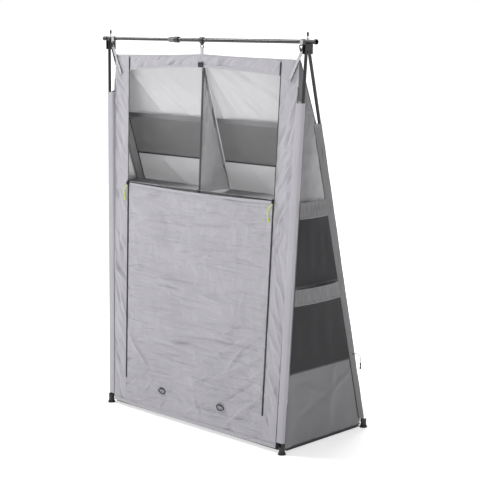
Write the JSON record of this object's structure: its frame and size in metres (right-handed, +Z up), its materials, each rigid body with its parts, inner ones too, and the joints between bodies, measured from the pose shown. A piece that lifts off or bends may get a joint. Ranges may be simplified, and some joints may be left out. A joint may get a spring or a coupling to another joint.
{
  "type": "camping storage wardrobe",
  "caption": "Free-standing A-frame camping wardrobe with a telescopic hanging rail, fabric body, zipped front door, divided upper shelf and mesh pockets.",
  "frame": {"origin": "on the ground, midway between the four feet", "axes": "+X along the rail to its thick, open end; -Y out of the zipped front; +Z up"},
  "size_m": [1.235, 0.534, 1.636],
  "materials": {
    "pole_black": "satin black coat",
    "steel": "plain steel",
    "plastic_black": "moulded, matt",
    "plastic_grey": "moulded, matt",
    "front_fabric": "light lavender-grey woven polyester",
    "side_fabric": "mid-grey woven polyester",
    "rear_fabric": "light grey woven polyester",
    "floor_fabric": "dark coated fabric",
    "mesh": "dark knitted mesh",
    "webbing": "light grey webbing",
    "tape_dark": "dark binding tape",
    "zip_black": "black coil zip",
    "slider_black": "black slider and pull",
    "cord_lime": "lime-green cord",
    "cord_grey": "grey cord"
  },
  "bodies": {
    "front_frame": {"rail_outer_tube": "pole_black", "rail_inner_tube": "pole_black", "rail_lock_ring": "plastic_black", "rail_cap": "plastic_black", "rail_end_ring": "plastic_black", "apex_brackets": "pole_black", "leg_rivets": "steel", "apex_pins": "steel", "pin_caps": "plastic_black", "front_leg_left": "pole_black", "front_leg_right": "pole_black", "front_boots": "plastic_black", "front_sleeve_left": "front_fabric", "front_sleeve_right": "front_fabric", "front_stile_left": "front_fabric", "front_stile_right": "front_fabric", "header_panel": "front_fabric", "base_panel": "front_fabric", "ridge_seam": "front_fabric", "header_tab": "tape_dark", "door_ties": "plastic_black", "zip_left": "zip_black", "zip_right": "zip_black", "side_panel_left": "side_fabric", "side_panel_right": "side_fabric", "side_pockets_left": "mesh", "side_pockets_right": "mesh", "side_pocket_bands_left": "side_fabric", "side_pocket_bands_right": "side_fabric", "divider": "side_fabric", "divider_tape": "tape_dark", "shelf_panel": "rear_fabric", "floor_panel": "floor_fabric", "anchor_webbing": "webbing", "strap_buckles": "plastic_black", "corner_straps": "webbing", "centre_clip": "plastic_black", "centre_ring": "plastic_black", "centre_strap": "webbing"},
    "rear_frame": {"rear_leg_left": "pole_black", "rear_leg_right": "pole_black", "rear_boots": "plastic_black", "rear_sleeve_left": "side_fabric", "rear_sleeve_right": "side_fabric", "rear_panel": "rear_fabric", "rear_pocket_left": "mesh", "rear_pocket_right": "mesh", "rear_pocket_hems": "side_fabric", "guy_cord": "cord_grey", "guy_tag": "tape_dark"},
    "door": {"door_panel": "front_fabric"},
    "door_flap": {"door_flap": "front_fabric"},
    "zip_slider_left": {"zip_slider_left": "slider_black"},
    "zip_slider_right": {"zip_slider_right": "slider_black"},
    "zip_pull_left": {"zip_pull_left": "slider_black", "pull_cord_left": "cord_lime"},
    "zip_pull_right": {"zip_pull_right": "slider_black", "pull_cord_right": "cord_lime"},
    "rail_lock": {"rail_lock_sleeve": "plastic_grey"}
  },
  "joints": [
    {"name": "rear_frame_fold", "type": "hinge", "parent": "front_frame", "child": "rear_frame", "pos_m": [0, -0.1665, 1.562], "axis": [1, 0, 0], "range_deg": [-16, 0], "deforming": ["side_panel_left", "side_panel_right", "side_pockets_left", "side_pockets_right", "side_pocket_bands_left", "side_pocket_bands_right", "divider", "divider_tape", "shelf_panel", "floor_panel", "rear_sleeve_left", "rear_sleeve_right", "rear_pocket_left", "rear_pocket_right", "rear_pocket_hems"]},
    {"name": "door_fall", "type": "hinge", "parent": "front_frame", "child": "door", "pos_m": [0, -0.25181, 0.135], "axis": [1, 0, 0], "range_deg": [0, 95]},
    {"name": "door_flap_raise", "type": "slide", "parent": "door", "child": "door_flap", "axis": [0, 0.0507, 0.9987], "range_m": [0, 0.5]},
    {"name": "zip_slide_left", "type": "slide", "parent": "front_frame", "child": "zip_slider_left", "axis": [-0.0208, 0.0507, 0.9985], "range_m": [-0.83, 0.51]},
    {"name": "zip_pull_swing_left", "type": "hinge", "parent": "zip_slider_left", "child": "zip_pull_left", "pos_m": [-0.42975, -0.21586, 0.989], "axis": [1, 0, 0], "range_deg": [-150, 0]},
    {"name": "zip_slide_right", "type": "slide", "parent": "front_frame", "child": "zip_slider_right", "axis": [0.0208, 0.0507, 0.9985], "range_m": [-0.83, 0.51]},
    {"name": "zip_pull_swing_right", "type": "hinge", "parent": "zip_slider_right", "child": "zip_pull_right", "pos_m": [0.42975, -0.21586, 0.989], "axis": [1, 0, 0], "range_deg": [-150, 0]},
    {"name": "rail_lock_twist", "type": "hinge", "parent": "front_frame", "child": "rail_lock", "pos_m": [-0.178, -0.175, 1.6], "axis": [1, 0, 0], "range_deg": [0, 90]}
  ]
}
